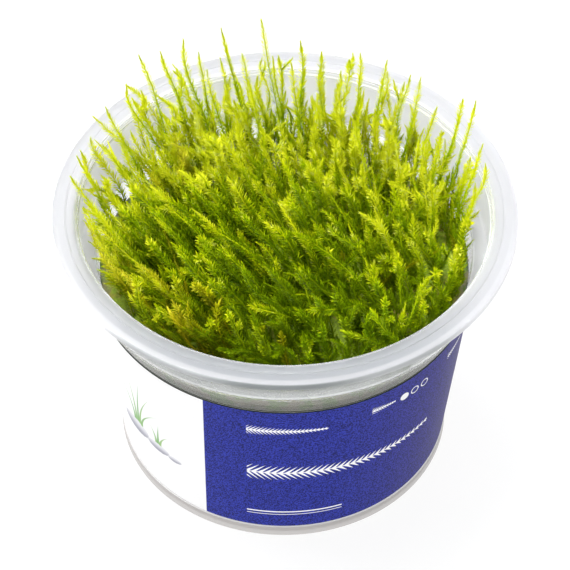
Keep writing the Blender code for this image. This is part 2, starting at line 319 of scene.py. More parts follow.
def clear_cup_material():
    """Milky clear polypropylene: fine turning lines on the rim, drops of moisture on the collar, and
    painted shade and highlights in its milk.
    """
    material, shader, place = started_material("clear_cup")
    x, y, depth, radius = axes_of(place)
    aside = x.math("ABSOLUTE")
    nearer = step_down(y, -36, -10)

    # The parts of the cup
    rim = step_up(radius, 44.6, 45.2) * step_down(depth, 1.8, 2.1)
    rim_top = rim * step_down(depth, 0, 0.3)
    # A painted highlight on the rim's rounded outer edge, strongest at the front
    rim_edge_highlight = step_up(radius, 48.4, 48.8) * (1 - 0.7 * step_up(y, -40, 0))
    lip_face = step_up(radius, 49.2, 49.7) * (1 - rim_top)
    mouth = band(radius, 43.7, 44.9, 0.2) * step_down(depth, 1.4, 2.6)
    inside = step_down(radius, 44.05, 44.25)
    outside = step_up(radius, 44.35, 44.6) * (1 - rim)
    # A painted shadow on the collar just under the lip, at the front
    under_lip_shadow = band(depth, 3.0, 8.5, 0.35) * outside * nearer
    collar = band(depth, 1.6, 11.6, 0.4) * (1 - rim)
    low_collar = band(depth, 10.3, 11.4, 0.2) * (1 - rim)
    shelf = band(radius, 41.0, 43.8, 0.2) * band(depth, 11.0, 11.6, 0.1) * (1 - nearer)
    # A painted glint along the ledge's outer edge, broken up by the drops
    ledge_glint = band(depth, 11.0, 11.9, 0.15) * outside
    # A painted shadow, nearly black, in the gap between the cup and the label's top edge
    gap_shadow = band(depth, 18.05, 18.9, 0.08) * step_up(radius, 40.8, 41.0)
    foot = step_up(depth, RIM_HEIGHT / MM - 3.6, RIM_HEIGHT / MM - 2.6)

    # The clear plastic, with its turning lines and drops
    turning = (radius / TURNING_PITCH).math("SINE") * rim_top
    drop = step_down(cells(place, DROP_SIZE), 0.10, 0.50)
    patchy = step_up(cloud(place, 6 * MM), 0.35, 0.6)
    damp = drop * (patchy * collar * nearer * 0.6 + low_collar)
    haze = cloud(place, 9 * MM, 4.0)
    height = turning * 0.05 + damp * 0.8 + cloud(place, 0.7 * MM) * 0.06 * (1 - rim)
    feed(shader, Base_Color=mixed(rim, (0.98, 0.985, 0.99, 1), (0.95, 0.95, 0.965, 1)),
         Roughness=0.12 + haze * 0.12 + rim * 0.35, Normal=bumped(height, 0.35, 0.12 * MM),
         Transmission_Weight=1.0, IOR=1.49)

    # The milk in it: its colour, how much light it lets through, and how much of it each part shows
    # Painted shade and highlight on the rim: its milk is painted darker at the front, and much lighter on
    # its outer edge as a highlight
    rim_milk = mixed(step_up(y, -48, -22), (0.268, 0.292, 0.348, 1), (0.298, 0.306, 0.348, 1))
    rim_milk = mixed(rim_edge_highlight, rim_milk, (0.66, 0.665, 0.70, 1))
    # Painted shade: the lip's face is painted dark in the middle of the front, as the shadow under the rim,
    # lighter to the sides, and white at the flanks and back
    lip_milk = mixed(step_up(aside, 6, 20), (0.22, 0.24, 0.245, 1), (0.44, 0.455, 0.465, 1))
    flank = step_up(aside, 30, 42).math("MAXIMUM", step_up(y, -38, -25))
    lip_milk = mixed(flank, lip_milk, (0.95, 0.95, 0.98, 1))
    milk_colour = (0.93, 0.94, 0.95, 1)
    # Painted shade and highlight: the collar's milk is painted darker at the front as shade, and its low
    # part white, a painted highlight along the ledge among the drops
    for part, colour in ((rim, mixed(lip_face, rim_milk, lip_milk)), (foot, (0.49, 0.465, 0.45, 1)),
                         (nearer * collar, (0.37, 0.385, 0.395, 1)), (under_lip_shadow, (0.22, 0.24, 0.23, 1)),
                         (gap_shadow, (0.02, 0.03, 0.012, 1)), (low_collar, (0.93, 0.94, 0.96, 1))):
        milk_colour = mixed(part, milk_colour, colour)
    matt = place.node("BsdfPrincipled", None, {"Base Color": milk_colour, "Roughness": 0.5,
                                               "Specular IOR Level": 0.2})
    light_through = place.node("BsdfTranslucent", None, {"Color": (0.94, 0.94, 0.96, 1)})
    thin = inside * collar * (0.88 - 0.70 * nearer) + 0.30 * rim * (1 - lip_face)
    milk = place.node("MixShader", None, {0: thin, 1: matt, 2: light_through})
    frosted = inside * band(depth, 1.6 + 1.8 * nearer, 11.6, 0.4) * (1 - rim)
    milkiness = 0.03 + frosted * (0.84 - 0.24 * nearer - 0.45 * drop * nearer * (0.5 + 0.5 * patchy))
    for part, share in ((rim, 0.28), (lip_face * rim, 0.60), (mouth, 0.10), (under_lip_shadow, 0.12),
                        (shelf, 0.75), (gap_shadow, 0.80), (ledge_glint, 0.25 + 0.6 * drop),
                        (low_collar * drop, 0.30), (foot, 0.75)):
        milkiness = milkiness + part * share
    shader_mix(material, milkiness, shader, milk)
    return material


cup_form = turned_form(CUP_INSIDE + CUP_RIM + CUP_OUTSIDE, CUP_TURNS)
turned_piece("cup_shell", cup_form, clear_cup_material(), "cup")

# The label: a printed plastic film 0.3 mm thick, laid in the cup's recess and butted at the back. A
# blue panel runs from the left of the front round the right. The rest is white, with a small drawing
# of pebbles and grass. White fronds and rules stand on the blue, with three level dots.
LABEL_TOP_DEPTH = 18.9
LABEL_BOTTOM_DEPTH = 62.2
LABEL_THICKNESS = 0.3 * MM
LABEL_SEAM = 1.2 * MM
LABEL_TURNS = 180
BODY_TOP_RADIUS = 41.9
BODY_TOP_DEPTH = 12.3
BODY_TAPER = 0.1034
BLUE_FROM = -17.5
BLUE_TO_BEARING = math.radians(138)
DOT_RADIUS = 1.15
DOT_HOLLOW = 0.88
# Place round the cup and below the rim, width and height of each pebble, in millimetres
PEBBLES = ((-38.5, 46.6, 5.2, 2.3), (-30.5, 47.4, 3.6, 1.5), (-25.6, 48.0, 2.0, 0.9))
# Place round the cup, bend, place below the rim and height of each blade of grass, and its paleness
GRASS = (
    (-38.6, -5.0, 44.6, 11.0, 0.1), (-37.9, -2.0, 44.4, 14.0, 0.5), (-37.2, 1.2, 44.4, 15.5, 0.2),
    (-36.6, 3.6, 44.6, 12.5, 0.7), (-36.0, 5.6, 44.9, 9.0, 0.4), (-31.0, -1.8, 46.0, 5.5, 0.6),
    (-30.4, 0.4, 46.0, 7.5, 0.2), (-29.8, 2.4, 46.2, 5.0, 0.8),
)


def label_radius(depth):
    """Outer radius of the label, in metres, at a depth below the rim in millimetres."""
    return (BODY_TOP_RADIUS - BODY_TAPER * (depth - BODY_TOP_DEPTH)) * MM


def label_form():
    """A tapered strip round the body, open by a narrow seam at the back."""
    form = bmesh.new()
    seam = LABEL_SEAM / label_radius(LABEL_TOP_DEPTH)
    turn = Matrix.Rotation(math.pi / 2 + seam / 2, 3, "Z")
    ends = [form.verts.new(turn @ Vector((label_radius(depth), 0, RIM_HEIGHT - depth * MM)))
            for depth in (LABEL_TOP_DEPTH, LABEL_BOTTOM_DEPTH)]
    form.edges.new(ends)
    bmesh.ops.spin(form, geom=form.verts[:] + form.edges[:], cent=(0, 0, 0), axis=(0, 0, 1),
                   angle=math.tau - seam, steps=LABEL_TURNS)
    outwards = form.faces[:][0]
    if outwards.normal.dot(outwards.calc_center_median()) < 0:
        bmesh.ops.reverse_faces(form, faces=form.faces)
    bmesh.ops.solidify(form, geom=form.faces[:], thickness=LABEL_THICKNESS)
    bmesh.ops.recalc_face_normals(form, faces=form.faces)
    return form


def frond_print(along, height, start, end, leaf):
    """A printed frond: a stem from start to end, with slanted leaves on both sides that shorten."""
    progress = (along - start) / (end - start)
    aside = height.math("ABSOLUTE")
    stem = step_down(aside, 0.10, 0.20)
    pitch = 0.5 * leaf
    slid = (along - aside) / pitch
    across = (slid - slid.math("FLOOR") - 0.5) * pitch
    reach = leaf * (1.02 - progress * 0.75)
    width = (1 - aside / reach) * (0.36 * pitch)
    leaves = step_down(across.math("ABSOLUTE") - width, -0.05, 0.05) * step_down(aside - reach, -0.08, 0.08)
    return leaves.math("MAXIMUM", stem) * band(progress, 0.0, 1.0, 0.004)


def dot_print(along, height, at, hollow=0.0):
    """A printed dot, or a ring if it has a hollow."""
    across = along - at
    away = (across * across + height * height).math("SQRT")
    dot = step_down(away, DOT_RADIUS - 0.07, DOT_RADIUS + 0.07)
    return dot - step_down(away, hollow - 0.07, hollow + 0.07) if hollow else dot


def blade_print(along, height, root, bend, tall):
    """A printed blade of grass that bends aside as it rises."""
    share = height / tall
    across = along - (root + share * share * bend)
    width = (1 - share) * 0.42
    return step_down(across.math("ABSOLUTE") - width, -0.12, 0.12) * band(share, 0.0, 1.0, 0.02)


def label_material():
    """The printed film: panels, fronds, dots and rules, and the fine grain of the print."""
    material, shader, place = started_material("label_film")
    x, y, depth, radius = axes_of(place)
    bearing = x.math("ARCTAN2", 0 - y)
    along = bearing * radius
    blue = (step_up(along, BLUE_FROM - 0.06, BLUE_FROM + 0.06)
            * step_down(bearing, BLUE_TO_BEARING - 0.001, BLUE_TO_BEARING + 0.001))

    # The white print on the blue panel
    white_print = frond_print(along, 41.4 - depth, -7.8, 36.5, 2.9)
    for mark in (frond_print(along, 25.7 - depth, -7.9, 9.6, 1.7),
                 frond_print(along, 24.2 - depth, 19.6, 25.4, 1.3),
                 frond_print(along, 24.2 - depth, 42.6, 49.5, 1.3),
                 dot_print(along, 24.5 - depth, 27.9),
                 dot_print(along, 24.5 - depth, 30.85, DOT_HOLLOW),
                 dot_print(along, 24.5 - depth, 33.85, DOT_HOLLOW),
                 band(along, -7.9, 13.2, 0.05) * (band(depth, 56.4, 56.8, 0.05)
                                                  + band(depth, 57.5, 57.7, 0.05))):
        white_print = white_print.math("MAXIMUM", mark)

    # The inks: grainy, and painted lighter at the left and darker and more violet to the right, as light,
    # shade and a pinkish sheen
    grain = cloud(place, 0.32 * MM)
    soft = cloud(place, 14 * MM)
    rightwards = step_up(along, 8.0, 62.0)
    light_ink = mixed(rightwards, (0.027, 0.042, 0.420, 1), (0.060, 0.041, 0.280, 1))
    dark_ink = mixed(rightwards, (0.002, 0.005, 0.088, 1), (0.008, 0.006, 0.062, 1))
    blue_ink = mixed(step_up(grain, 0.36, 0.64), dark_ink, light_ink)

    # The drawing on the white panel
    drawing = mixed(soft, (0.97, 0.97, 0.97, 1), (0.95, 0.95, 0.95, 1))
    rough = (cloud(place, 1.3 * MM, 4.0) - 0.5) * 0.5
    for at, low, wide, tall in PEBBLES:
        across = (along - at) / wide
        rise = (low - depth) / tall
        shade = mixed(step_up(rise, -0.9, 0.8), (0.33, 0.33, 0.40, 1), (0.80, 0.80, 0.84, 1))
        drawing = mixed(step_down(across * across + rise * rise + rough, 0.75, 1.05), drawing, shade)
    for root, bend, low, tall, pale in GRASS:
        green = (0.10 + 0.16 * pale, 0.36 + 0.14 * pale, 0.06 + 0.04 * pale, 1)
        drawing = mixed(blade_print(along, low - depth, root, bend, tall) * 0.85, drawing, green)

    # The panels, a painted shadow along the film's top edge, and the film's plain inner face
    top_edge_shadow = step_down(depth, LABEL_TOP_DEPTH, LABEL_TOP_DEPTH + 0.26)
    inner_face = step_down(radius + depth * BODY_TAPER - BODY_TOP_RADIUS - BODY_TOP_DEPTH * BODY_TAPER,
                           -0.24, -0.16)
    colour = mixed(blue, drawing, blue_ink)
    for part, shown in ((white_print * blue, (0.93, 0.93, 0.95, 1)), (top_edge_shadow, (0.012, 0.022, 0.010, 1)),
                        (inner_face, (0.95, 0.95, 0.96, 1))):
        colour = mixed(part, colour, shown)
    feed(shader, Base_Color=colour, Roughness=0.42 + soft * 0.12, Specular_IOR_Level=0.12,
         Normal=bumped(grain + cloud(place, 3 * MM) * 2.0, 0.12, 0.05 * MM))
    light_through = place.node("BsdfTranslucent", None, {"Color": (0.92, 0.92, 0.93, 1)})
    sheer = (0.06 + 0.22 * step_up(y, 0, 20)) * (1 - blue)
    shader_mix(material, sheer, shader, light_through)
    return material


turned_piece("printed_label", label_form(), label_material(), "label")

# The nutrient gel: a bed of pale jelly poured on the cup's floor, slightly hollow on top, with old
# stem ends and tiny bubbles in it.
GEL_TURNS = 96
GEL_OUTLINE = (
    (0.0, 52.1, 0.0), (33.0, 52.1, 0.8), (35.75, 51.55, 0.15), (35.0, 61.7, 0.0), (34.4, 63.4, 0.5),
    (0.0, 63.4, 0.0),
)


def gel_material():
    """Cloudy beige jelly with darker flecks and bubbles."""
    material, shader, place = started_material("growing_gel")
    clouds = cloud(place, 7 * MM, 3.0)
    flecks = step_up(cloud(place, 1.1 * MM, 3.0), 0.62, 0.72)
    bubbles = step_down(cells(place, 1.6 * MM), 0.1, 0.3)
    jelly = mixed(clouds, (0.48, 0.41, 0.33, 1), (0.66, 0.59, 0.49, 1))
    feed(shader, Base_Color=mixed(flecks * 0.5, jelly, (0.36, 0.28, 0.15, 1)),
         Roughness=0.16 + clouds * 0.12, Normal=bumped(bubbles, 0.2, 0.1 * MM),
         Subsurface_Weight=0.35, Subsurface_Scale=3 * MM, IOR=1.34)
    return material


turned_piece("gel_bed", turned_form(GEL_OUTLINE, GEL_TURNS), gel_material(), "nutrient_gel")

# The old moss: the tangle of older stems that has filled the cup from the gel up. It is dense and dull
# green to straw brown, with a lumpy top, and everything that stands above it grows out of it.
BED_TURNS = 120
BED_OUTLINE = (
    (0.0, 12.6, 0.0), (5.0, 12.6, 0.0), (10.0, 12.6, 0.0), (15.0, 12.6, 0.0), (20.0, 12.7, 0.0),
    (25.0, 12.8, 0.0), (29.0, 13.0, 0.0), (32.5, 13.2, 0.0), (35.5, 13.4, 0.0), (38.2, 13.8, 0.0),
    (40.2, 15.4, 0.0), (40.2, 18.5, 0.0), (39.8, 22.0, 0.0), (39.2, 28.0, 0.0), (38.4, 36.0, 0.0),
    (37.4, 45.0, 0.0), (36.2, 50.6, 0.0), (34.6, 51.1, 0.0), (0.0, 51.1, 0.0),
)
BED_BOTTOM = RIM_HEIGHT - 51.0 * MM
BED_HEIGHT = 38.4 * MM
BED_LUMP = 1.7 * MM
BED_LUMP_SIZE = 4.5 * MM
BED_DIP = 5.0 * MM
BED_DIP_REACH = 34 * MM
BED_CLEARANCE = 0.3 * MM
COLLAR_BOTTOM_DEPTH = 11.3
COLLAR_ROOM = 43.85
CUP_WALL = 1.2


def wall_room(depth):
    """How far from the axis the inside of the cup's wall is, at a depth below the rim in millimetres."""
    return np.where(depth > COLLAR_BOTTOM_DEPTH,
                    BODY_TOP_RADIUS - CUP_WALL - BODY_TAPER * (depth - BODY_TOP_DEPTH), COLLAR_ROOM) * MM


def old_moss_form():
    """The bed, turned and then made lumpy on its top and sides, within the room it has in the cup."""
    form = turned_form(BED_OUTLINE, BED_TURNS)
    form.normal_update()
    for vert in form.verts:
        if vert.co.z > BED_BOTTOM:
            lump = noise.fractal(vert.co / BED_LUMP_SIZE, 0.8, 2.0, 3)
            vert.co += vert.normal * lump * BED_LUMP
            behind = max(vert.co.y, 0) / BED_DIP_REACH
            rise = (vert.co.z - BED_BOTTOM) / BED_HEIGHT
            vert.co.z -= rise * BED_DIP * behind ** 1.5
            room = float(wall_room((RIM_HEIGHT - vert.co.z) / MM)) - BED_CLEARANCE
            vert.co.xy *= min(1, room / max(vert.co.xy.length, MM))
    return form


def old_moss_material():
    """Matted dull green and straw brown on top, painted paler behind as light, and darker round the sides.
    """
    material, shader, place = started_material("old_moss")
    y, depth = axes_of(place)[1:3]
    patches = cloud(place, 3.6 * MM, 3.0)
    strands = cloud(place, 0.6 * MM, 4.0)
    green = mixed(strands, (0.10, 0.17, 0.004, 1), (0.36, 0.48, 0.010, 1))
    brown = mixed(strands, (0.16, 0.13, 0.010, 1), (0.46, 0.38, 0.05, 1))
    top = mixed(step_up(patches, 0.50, 0.66), green, brown)
    # Painted light: the top is painted paler behind, as where light comes through the back of the cup
    top = mixed(step_up(y, 0, 30) * 0.6, top, (0.62, 0.66, 0.10, 1))
    side_green = mixed(strands, (0.025, 0.062, 0.005, 1), (0.18, 0.30, 0.035, 1))
    side_beige = mixed(strands, (0.08, 0.072, 0.038, 1), (0.34, 0.31, 0.18, 1))
    side = mixed(step_up(patches, 0.42, 0.56), side_green, side_beige)
    feed(shader, Base_Color=mixed(step_up(depth, 13.5, 15.5), top, side), Roughness=0.55 + strands * 0.3,
         Normal=bumped(strands, 0.8, 0.5 * MM))
    return material


turned_piece("old_moss_bed", old_moss_form(), old_moss_material(), "moss_cushion")

# The living moss: some thousand upright shoots that fan out of the old moss, each a thread of stem
# closely set with small pointed leaves. The leaves lie flat against a new tip and spread lower down.
# Each leaf is a slim folded blade of four faces, and each stem a three-sided thread.
STEM_POINTS = 12
STEM_RADIUS = 0.18 * MM
STEM_WAVE = 0.26
LEAF_SPACING = 0.088 * MM
LEAF_LENGTH = 1.30 * MM
LEAF_WIDTH_SHARE = 0.27
LEAF_FOLD_SHARE = 0.05
LEAF_MIDDLE = 0.38
# How much lighter a leaf is at its foot, its tip and its two sides
LEAF_TONES = (-0.36, 0.28, -0.04, -0.04)
LEAF_FACES = ((0, 1, 3), (0, 2, 1), (2, 3, 1), (0, 3, 2))
TONE_CHANCE = 0.15
STEM_AGE = 0.15
# Colours of a living and of an aged leaf, from the darkest tone to the lightest
FRESH = ((0.00, (0.070, 0.135, 0.001)), (0.30, (0.250, 0.385, 0.002)), (0.60, (0.58, 0.70, 0.003)),
         (0.85, (0.90, 0.88, 0.004)), (1.00, (0.98, 0.94, 0.035)))
STRAW = ((0.0, (0.22, 0.15, 0.002)), (0.5, (0.52, 0.38, 0.004)), (1.0, (0.84, 0.70, 0.04)))
SHARE_THROUGH = 0.42
GOLDEN_TURN = math.pi * (3 - math.sqrt(5))
TO_THE_LIGHT = (-0.1, -0.7, 0.7)
SHOOT_BASE = RIM_HEIGHT - 15.5 * MM
ROOT_RADIUS = 38.8 * MM
WALL_CLEARANCE = 0.25 * MM
MOUTH_HEIGHT = 0.25
NO_LIMIT = 1.0
chance = np.random.default_rng(23)


def unit(ways):
    """The same ways, each one metre long."""
    return ways / np.linalg.norm(ways, axis=-1, keepdims=True)


def grown_stems(feet, ways, lean, curl, lengths):
    """Lines of points along stems that set out on their ways, sway, lean over, and curl at the tip."""
    share = np.linspace(0, 1, STEM_POINTS)[None, :, None]
    wave = np.sin(math.tau * (chance.uniform(0.7, 1.4, (len(feet), 1, 1)) * share
                              + chance.random((len(feet), 1, 1))))
    wave = wave * share * chance.normal(0, STEM_WAVE, (len(feet), 1, 3)) * (1, 1, 0)
    turned = unit(ways[:, None] + lean[:, None] * share ** 1.4 + curl[:, None] * share ** 7 + wave)
    steps = turned[:, 1:] * (lengths / (STEM_POINTS - 1))[:, None, None]
    return np.concatenate([feet[:, None], feet[:, None] + np.cumsum(steps, axis=1)], axis=1)


def smooth_rise(value, low, high):
    """0 below low, 1 above high, and a smooth rise between."""
    share = np.clip((value - low) / (high - low), 0, 1)
    return share * share * (3 - 2 * share)


def kept_in_cup(places):
    """Leaves that would pass through the cup's wall are pressed against the inside of it."""
    depth = (RIM_HEIGHT - places[:, 2]) / MM
    room = np.where(depth > -MOUTH_HEIGHT, wall_room(depth) - WALL_CLEARANCE, NO_LIMIT)
    radius = np.linalg.norm(places[:, :2], axis=1)
    places[:, :2] *= np.minimum(1, room / np.maximum(radius, 1e-6))[:, None]
    return places


def leafy_moss(stems, slim, spread, leaf_length, tone_and_light, glow, age):
    """The places, triangles, tone and age of the stems and leaves of shoots.

    slim is how far below its tip a shoot is still slim, and spread how far its lower leaves then stand
    out, in degrees. tone_and_light is how bright a shoot is, its own tone with light and shade painted
    for its place, glow how far down it stays so, and age how far it has turned to straw.
    """
    legs = np.diff(stems, axis=1)
    lengths = np.linalg.norm(legs, axis=2).sum(axis=1)
    ways = unit(legs)
    ways = np.concatenate([ways, ways[:, -1:]], axis=1)
    sides = unit(np.cross(ways, unit(TO_THE_LIGHT + chance.normal(0, 0.45, (len(stems), 1, 3)))))

    # The leaves: which shoot each is on, how far below the tip, and its foot. They stand closer by the tip.
    marks = [0.0]
    while marks[-1] < lengths.max():
        wider = 0.25 * min(marks[-1] / (6 * MM), 1) + 0.9 * min(max(marks[-1] / (12 * MM) - 1, 0), 1)
        marks.append(marks[-1] + LEAF_SPACING * (1 + wider))
    marks = np.array(marks)
    shoot, step = np.nonzero(marks[None, :] < lengths[:, None] - 0.5 * MM)
    below = np.clip(marks[step] + chance.uniform(-0.3, 0.3, len(step)) * LEAF_SPACING, 0, None)
    at = (1 - below / lengths[shoot]) * (STEM_POINTS - 1)
    at = np.clip(at, 0, STEM_POINTS - 1.001)
    point = at.astype(int)
    part = (at - point)[:, None]
    foot = stems[shoot, point] * (1 - part) + stems[shoot, point + 1] * part
    way = unit(ways[shoot, point] * (1 - part) + ways[shoot, point + 1] * part)
    side = unit(np.cross(np.cross(way, sides[shoot, point]), way))
    other = np.cross(way, side)

    # Which way each leaf points, and how far it stands out from the stem
    bearing = GOLDEN_TURN * step + chance.normal(0, 0.25, len(step))
    bearing -= 0.42 * np.sin(2 * bearing)
    out = np.cos(bearing)[:, None] * side + np.sin(bearing)[:, None] * other
    open_share = smooth_rise(below, 0.3 * slim[shoot], 1.5 * slim[shoot])
    bud_share = smooth_rise(below, 0, 2.2 * MM)
    angle = np.radians(12 + 5 * bud_share + spread[shoot] * open_share
                       + chance.normal(0, 5, len(step)) * (0.25 + open_share))
    bud = 0.55 + 0.25 * bud_share + 0.20 * open_share
    long = leaf_length[shoot] * bud * chance.uniform(0.8, 1.15, len(step))
    along = np.cos(angle)[:, None] * way + np.sin(angle)[:, None] * out
    across = np.cross(way, out)
    inwards = np.cross(across, along)

    # Its four corners and its tone, which is painted darker lower in the moss, as shade
    thread = STEM_RADIUS * (0.35 + 0.65 * smooth_rise(below, 0, 6 * MM))
    foot = foot + out * thread[:, None] * 0.8
    wide = (long * LEAF_WIDTH_SHARE)[:, None]
    point_end = foot + along * long[:, None]
    middle = foot + along * (LEAF_MIDDLE * long)[:, None] - inwards * (long * LEAF_FOLD_SHARE)[:, None]
    leaves = np.stack([foot, point_end, middle - across * wide / 2, middle + across * wide / 2], axis=1)
    first = 4 * np.arange(len(step))[:, None, None]
    leaf_faces = first + np.array(LEAF_FACES)[None]
    tone = 1 - smooth_rise(below, 0, glow[shoot])
    height = smooth_rise(foot[:, 2], RIM_HEIGHT - 16 * MM, RIM_HEIGHT + 4 * MM)
    tone = (0.66 * tone + 0.34 * height) * tone_and_light[shoot] + chance.normal(0, TONE_CHANCE, len(step))
    leaf_tone = np.clip(tone[:, None] + np.array(LEAF_TONES)[None], 0, 1)
    leaf_age = np.repeat(age[shoot][:, None], 4, axis=1)

    # The stems
    corner = np.arange(3) * math.tau / 3
    radii = STEM_RADIUS * np.clip(np.linspace(5, 0.3, STEM_POINTS), 0.3, 1)
    third = np.cross(ways, sides)
    rings = stems[:, :, None] + radii[None, :, None, None] * (
        np.cos(corner)[None, None, :, None] * sides[:, :, None]
        + np.sin(corner)[None, None, :, None] * third[:, :, None])
    ring_count = 3 * STEM_POINTS
    low = 3 * np.arange(STEM_POINTS - 1)[:, None] + np.arange(3)[None]
    next_low = 3 * np.arange(STEM_POINTS - 1)[:, None] + (np.arange(3)[None] + 1) % 3
    walls = np.concatenate([np.stack([low, next_low, next_low + 3], axis=2).reshape(-1, 3),
                            np.stack([low, next_low + 3, low + 3], axis=2).reshape(-1, 3)])
    ends = np.array([(0, 2, 1), (ring_count - 3, ring_count - 2, ring_count - 1)])
    stem_faces = (4 * len(step) + ring_count * np.arange(len(stems))[:, None, None]
                  + np.concatenate([walls, ends])[None])
    stem_tone = np.repeat(np.linspace(0, 0.8, STEM_POINTS), 3)[None] * tone_and_light[:, None]
    stem_age = np.repeat((age + STEM_AGE)[:, None], ring_count, axis=1)

    places = np.concatenate([leaves.reshape(-1, 3), rings.reshape(-1, 3)])
    faces = np.concatenate([leaf_faces.reshape(-1, 3), stem_faces.reshape(-1, 3)])
    tones = np.concatenate([leaf_tone.ravel(), stem_tone.ravel()])
    ages = np.concatenate([leaf_age.ravel(), stem_age.ravel()])
    return kept_in_cup(places), faces, tones, ages


def moss_piece(name, nodes, places, faces, tones, ages):
    """A piece of moss as one mesh, with its tone and age kept on its points."""
    mesh = bpy.data.meshes.new(name)
    mesh.vertices.add(len(places))
    mesh.vertices.foreach_set("co", places.astype(np.float32).ravel())
    mesh.loops.add(faces.size)
    mesh.loops.foreach_set("vertex_index", faces.astype(np.int32).ravel())
    mesh.polygons.add(len(faces))
    mesh.polygons.foreach_set("loop_start", np.arange(0, faces.size, 3, dtype=np.int32))
    mesh.update(calc_edges=True)
    mesh.shade_flat()
    for label, values in (("tone", tones), ("age", ages)):
        mesh.attributes.new(label, "FLOAT", "POINT").data.foreach_set("value", values.astype(np.float32))
    placed_piece(name, mesh, moss_green, nodes)


def living_moss_material():
    """Yellow-green at the tips and deeper green below, straw where a shoot has aged, with painted
    highlights in pale streaks where it is bright, most behind, and thin enough for light to come through
    the leaves."""
    material, shader, place = started_material("new_moss")
    tone, age = (place.node("Attribute", {"attribute_name": name}, output=2) for name in ("tone", "age"))
    speckle = cloud(place, 0.9 * MM)
    shade = tone + (speckle - 0.5) * 0.35
    fresh, straw = (shade.node("ValToRGB", {"stops": stops}, {"Fac": shade}) for stops in (FRESH, STRAW))
    behind = step_up(axes_of(place)[1], -4, 18)
    # Painted highlights: pale streaks on the bright leaves, strongest behind
    pale_highlight = step_up(cloud(place, 1.8 * MM, 1.0), 0.58, 0.68) * step_up(shade, 0.5, 0.9)
    fresh = mixed(pale_highlight * (0.45 + 0.45 * behind), fresh, (0.96, 0.94, 0.34, 1))
    feed(shader, Base_Color=mixed(age.math("MINIMUM", 1.0), fresh, straw),
         Roughness=0.42 + speckle * 0.2, Specular_IOR_Level=0.10)
    light_through = place.node("BsdfTranslucent", None, {"Color": (0.66, 0.82, 0.003, 1)})
    shader_mix(material, SHARE_THROUGH, shader, light_through)
    return material


moss_green = living_moss_material()
LEAN_RADIUS = 39.5 * MM
SIDE_FAN = 8.5
LEFT_FAN = 5.0
BACK_FAN = 2.0
TILT_CHANCE = 0.30
TIP_WEIGHT = 6
HOOK = 7 * MM
BOLD_SWAY = 2.3 * MM
CLUMP_SIZE = 9.0 * MM
CLUMP_SEED = 2
noise.seed_set(CLUMP_SEED)


def lean_of(roots):
    """How far shoots with these roots lean, across and away from the camera, for each metre they rise."""
    x, y = roots[:, 0], roots[:, 1]
    inward = 1 - (np.linalg.norm(roots, axis=1) / LEAN_RADIUS) ** 4
    forward = 1 - smooth_rise(y, -14 * MM, 20 * MM)
    across = (SIDE_FAN * x - (0.16 + 0.62 * forward) * inward
              - LEFT_FAN * np.maximum(-x - 10 * MM, 0) * (1 - forward))
    away = BACK_FAN * y + (0.14 + 0.50 * forward) * inward
    return np.stack([across, away], axis=1)


def solid_spikes(node):
    """The middle lines of the upright shoots on a solid: under each tip, the middles of three rings."""
    mesh = node.data
    mesh.calc_loop_triangles()
    loose = np.array([vert.co for vert in mesh.vertices])
    corners = np.array([triangle.vertices for triangle in mesh.loop_triangles])
    places, merged = np.unique(np.round(loose / SAME_PLACE), axis=0, return_inverse=True)
    places *= SAME_PLACE
    corners = merged.ravel()[corners]
    pairs = np.concatenate([corners[:, [0, 1]], corners[:, [1, 2]], corners[:, [2, 0]]])
    around = [set() for _ in places]
    for first, second in pairs:
        around[first].add(second)
        around[second].add(first)
    lines = []
    for tip, ring in enumerate(around):
        if len(ring) > 4 or places[tip, 2] < max(places[other, 2] for other in ring):
            continue
        inner, line = {tip}, [places[tip]]
        for _ in range(3):
            line.append(places[list(ring)].mean(axis=0))
            inner |= ring
            ring = set().union(*(around[other] for other in ring)) - inner
        lines.append(line[::-1])
    return np.array(lines)


def threaded(knots, sway):
    """A smooth line up through knots that ends at the last of them, swaying a little on the way."""
    at = np.concatenate([[0], np.cumsum(np.linalg.norm(np.diff(knots, axis=0), axis=1))])
    share = np.linspace(0, 1, STEM_POINTS)
    bend = np.polyfit(at / at[-1], knots, 3, w=[1] * (len(knots) - 1) + [TIP_WEIGHT])
    line = np.stack([np.polyval(bend[:, axis], share) for axis in range(3)], axis=1)
    line += (knots[-1] - line[-1]) * share[:, None] ** 2
    swing = np.sin(math.tau * share * chance.uniform(0.7, 1.3)) * share * (1 - share ** 6) * sway
    hook = share ** 6 * (1 - share) * chance.normal(0, HOOK)
    bearing = chance.uniform(0, math.tau)
    line[:, 0] += (swing + hook) * math.cos(bearing)
    line[:, 1] += (swing + hook) * math.sin(bearing)
    return line


def rooted(top, lean):
    """Where a shoot that comes up to this place sets out from, in the old moss."""
    drop = top[2] - SHOOT_BASE
    base = top - np.array([*(lean * drop * 0.7), drop])
    base[:2] *= min(1, ROOT_RADIUS / np.linalg.norm(base[:2]))
    return base


def clumps(roots, layer):
    """Three soft random values for each root, near enough from -1 to 1, that its neighbours share."""
    return np.array([noise.noise_vector((x / CLUMP_SIZE, y / CLUMP_SIZE, layer)) for x, y in roots])


# The bold shoots follow the upright ones of the solid
spikes = solid_spikes(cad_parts["moss_cushion"])
tilts = lean_of(spikes[:, 0, :2]) + chance.normal(0, TILT_CHANCE, (len(spikes), 2))
bold = np.array([threaded(np.array([rooted(line[0], tilt), *line]), chance.normal(0, BOLD_SWAY))
                 for line, tilt in zip(spikes, tilts)])

